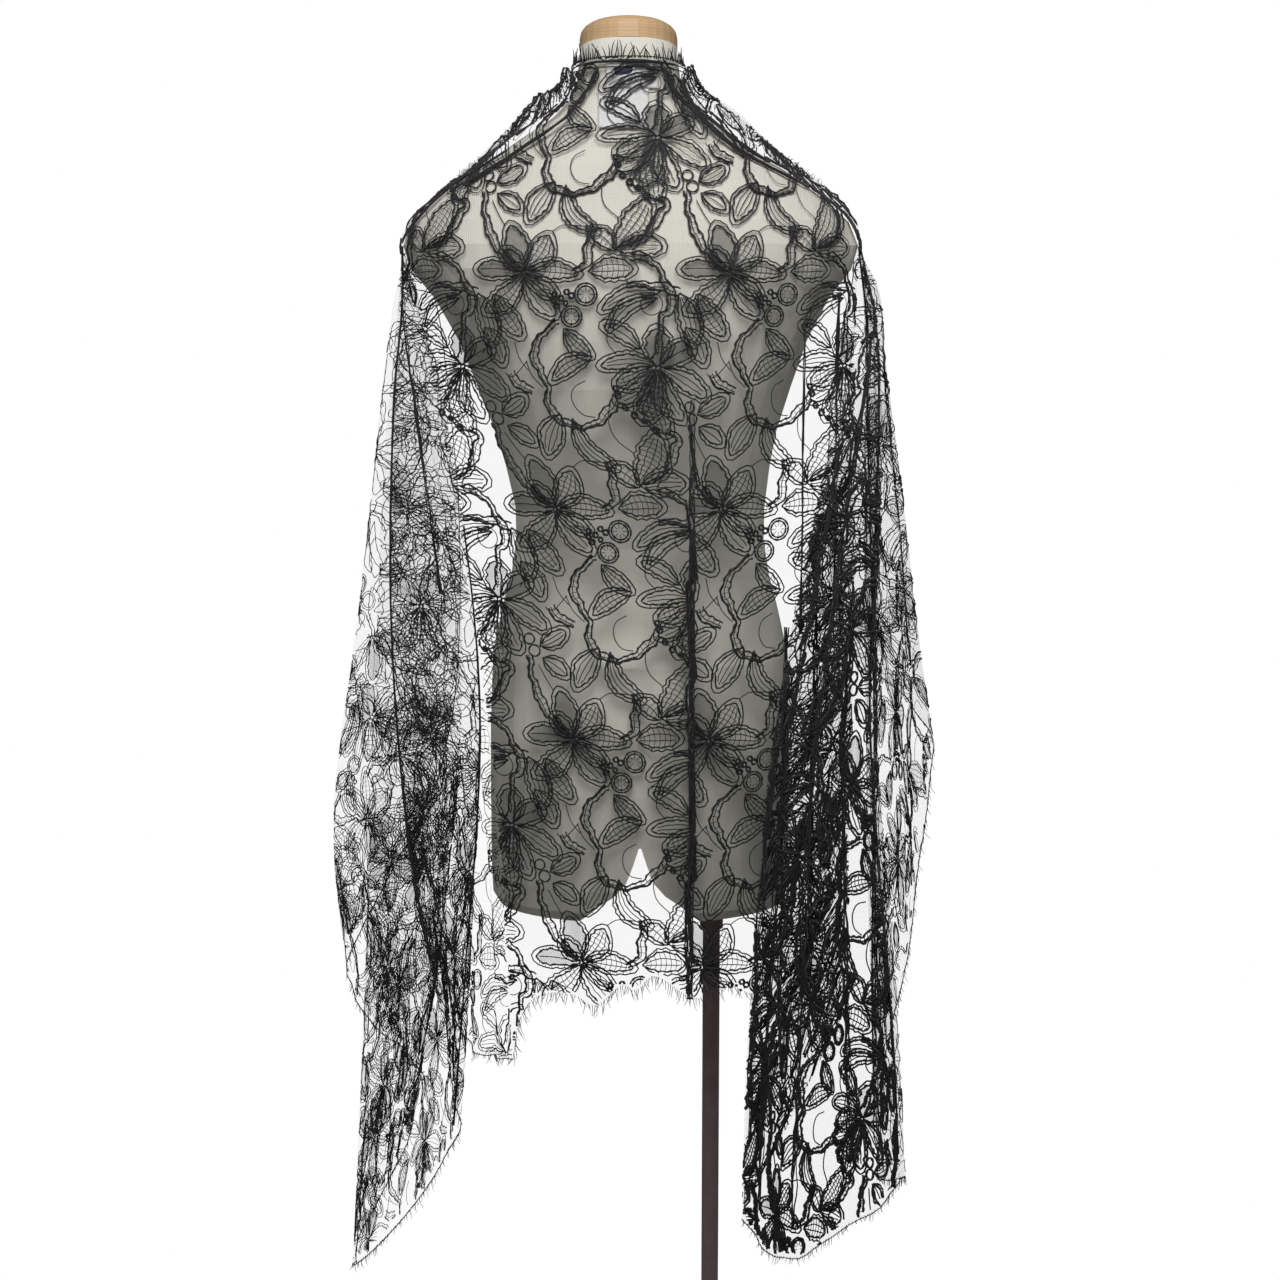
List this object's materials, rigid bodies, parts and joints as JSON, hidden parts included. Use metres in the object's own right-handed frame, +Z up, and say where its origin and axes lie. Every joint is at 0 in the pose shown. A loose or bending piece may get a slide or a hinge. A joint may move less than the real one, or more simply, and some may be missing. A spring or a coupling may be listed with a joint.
{
  "type": "lace stole on a limbless dress form with its stand",
  "caption": "Sheer floral lace stole draped over the back of a limbless dress form, its pleated ends hanging at the sides.",
  "frame": {"origin": "centre of the stand base's underside, on the pole's axis", "axes": "+Z up along the pole, -Y towards the side that the form's back and the stole's middle face, +X to the right seen from there"},
  "size_m": [0.5489, 0.4, 1.4603],
  "materials": {
    "lace": "black corded floral lace on a fine net",
    "white_tape": "bare white woven tape",
    "navy_tape": "bare dark navy woven tape",
    "jersey": "smooth cream jersey",
    "wood": "light varnished wood",
    "dark_paint": "dark brown satin paint"
  },
  "bodies": {
    "root": {"stole_back": "lace", "stole_back_tuck": "lace", "stole_left_shoulder": "lace", "stole_right_shoulder": "lace", "stole_left_end": "lace", "stole_right_end": "lace", "stole_right_pleat": "lace", "stole_hem_lashes": "lace", "stole_nape_lashes": "lace", "label_tape": "white_tape", "label_care_tag": "white_tape", "label_size_tab": "navy_tape", "dress_form": "jersey", "neck_cap": "wood", "pole_socket": "dark_paint", "stand_pole": "dark_paint", "stand_base": "dark_paint"}
  },
  "joints": []
}
